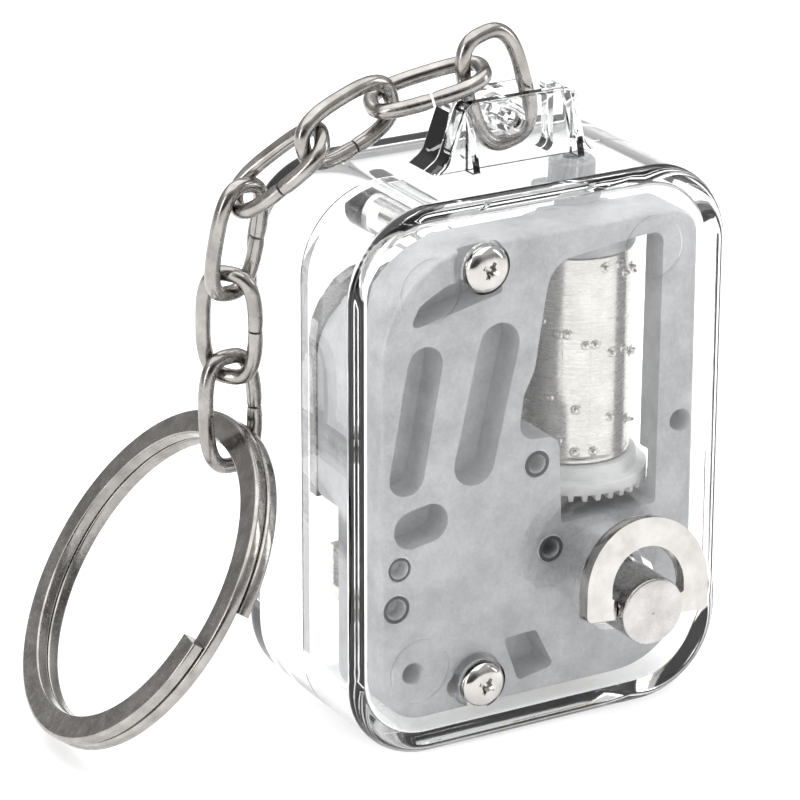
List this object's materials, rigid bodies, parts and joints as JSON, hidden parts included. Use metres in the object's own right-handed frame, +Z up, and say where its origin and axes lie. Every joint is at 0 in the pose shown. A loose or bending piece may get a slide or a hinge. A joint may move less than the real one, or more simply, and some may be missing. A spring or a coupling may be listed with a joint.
{
  "type": "cylinder music box",
  "caption": "Small hand-wound cylinder music movement in a clear plastic case, with a fold-out winding ring and a link chain ending in a split key ring.",
  "frame": {"origin": "centre of the case's flat bottom face, midway between its front and back faces", "axes": "+Z up to the lug, -Y out of the front face where the winding key stands, +X to the right seen from the front"},
  "size_m": [0.0501, 0.032, 0.0527],
  "materials": {
    "clear_plastic": "water-clear moulded plastic, polished",
    "die_cast_zinc": "bare zinc die casting, matt and mottled",
    "nickel_plate": "nickel-plated steel, bright",
    "satin_nickel": "nickel-plated brass tube, satin",
    "spring_steel": "ground spring steel",
    "brass": "cut brass",
    "white_nylon": "white moulded nylon"
  },
  "bodies": {
    "music_box_case": {"front_shell": "clear_plastic", "back_shell": "clear_plastic", "bedplate": "die_cast_zinc", "comb": "spring_steel", "case_screw_upper": "nickel_plate", "case_screw_lower": "nickel_plate", "comb_screw_upper": "nickel_plate", "comb_screw_lower": "nickel_plate", "governor_screw_upper": "spring_steel", "governor_screw_lower": "spring_steel", "clutch_spring": "spring_steel", "governor_frame": "die_cast_zinc"},
    "winding_key": {"winding_shaft": "nickel_plate", "shaft_clip": "spring_steel"},
    "winding_ring": {"key_ring_bail": "nickel_plate"},
    "barrel": {"spring_barrel": "spring_steel", "barrel_gear": "brass", "mainspring": "spring_steel"},
    "cylinder": {"pinned_cylinder": "satin_nickel", "cylinder_gear": "white_nylon", "cylinder_end_cap": "die_cast_zinc", "cylinder_axle": "spring_steel"},
    "governor_gear": {"governor_wheel": "white_nylon", "governor_axle": "spring_steel"},
    "governor_fan": {"endless_screw": "spring_steel", "air_brake_fan": "white_nylon"},
    "link_1": {"chain_link_1": "nickel_plate"},
    "link_2": {"chain_link_2": "nickel_plate"},
    "link_3": {"chain_link_3": "nickel_plate"},
    "link_4": {"chain_link_4": "nickel_plate"},
    "link_5": {"chain_link_5": "nickel_plate"},
    "link_6": {"chain_link_6": "nickel_plate"},
    "link_7": {"chain_link_7": "nickel_plate"},
    "key_ring": {"split_key_ring": "nickel_plate"}
  },
  "joints": [
    {"name": "winding_shaft_turn", "type": "hinge", "parent": "music_box_case", "child": "winding_key", "pos_m": [0.0067, 0, 0.0099], "axis": [0, 1, 0], "continuous": true},
    {"name": "winding_ring_fold", "type": "hinge", "parent": "winding_key", "child": "winding_ring", "pos_m": [0.0067, -0.0125, 0.0099], "axis": [0.9945, 0, -0.1045], "range_deg": [0, 165]},
    {"name": "barrel_spin", "type": "hinge", "parent": "music_box_case", "child": "barrel", "pos_m": [0.0067, 0, 0.0099], "axis": [0, 1, 0], "continuous": true},
    {"name": "cylinder_spin", "type": "hinge", "parent": "music_box_case", "child": "cylinder", "pos_m": [0.0067, -0.00147, 0.027], "axis": [0, 0, 1], "continuous": true},
    {"name": "governor_wheel_spin", "type": "hinge", "parent": "music_box_case", "child": "governor_gear", "pos_m": [-0.0017, 0.003, 0.0099], "axis": [0, 1, 0], "continuous": true},
    {"name": "governor_fan_spin", "type": "hinge", "parent": "music_box_case", "child": "governor_fan", "pos_m": [-0.00635, 0.0048, 0.012], "axis": [0, 0, 1], "continuous": true},
    {"name": "link_1_swing", "type": "hinge", "parent": "music_box_case", "child": "link_1", "pos_m": [0.0009, -0.0012, 0.0456], "axis": [0, 1, 0], "range_deg": [0, 30]},
    {"name": "link_2_swing", "type": "hinge", "parent": "link_1", "child": "link_2", "pos_m": [-0.00113, -0.00176, 0.04945], "axis": [0.29, 0.9411, 0.174], "range_deg": [0, 45]},
    {"name": "link_3_swing", "type": "hinge", "parent": "link_2", "child": "link_3", "pos_m": [-0.0079, 0.0011, 0.04735], "axis": [0.29, 0.9411, 0.174], "range_deg": [0, 45]},
    {"name": "link_4_swing", "type": "hinge", "parent": "link_3", "child": "link_4", "pos_m": [-0.01365, -0.0006, 0.0461], "axis": [0.292, 0.8729, 0.3909], "range_deg": [0, 45]},
    {"name": "link_5_swing", "type": "hinge", "parent": "link_4", "child": "link_5", "pos_m": [-0.0181, 0.0034, 0.0413], "axis": [0.292, 0.8729, 0.3909], "range_deg": [0, 30]},
    {"name": "link_6_swing", "type": "hinge", "parent": "link_5", "child": "link_6", "pos_m": [-0.01888, 0.00393, 0.0353], "axis": [-0.6569, 0.7519, 0.056], "range_deg": [0, 30]},
    {"name": "link_7_swing", "type": "hinge", "parent": "link_6", "child": "link_7", "pos_m": [-0.0185, 0.00491, 0.0278], "axis": [-0.6569, 0.7519, 0.056], "range_deg": [0, 15]},
    {"name": "key_ring_swing", "type": "hinge", "parent": "link_7", "child": "key_ring", "pos_m": [-0.01854, 0.00468, 0.02255], "axis": [0.079, 0.9965, -0.027], "range_deg": [-20, 60]}
  ],
  "couplings": [
    {"joint": "cylinder_spin", "follows": "barrel_spin", "ratio": -1.3529},
    {"joint": "governor_wheel_spin", "follows": "barrel_spin", "ratio": -4.6},
    {"joint": "governor_fan_spin", "follows": "barrel_spin", "ratio": 110.4}
  ]
}
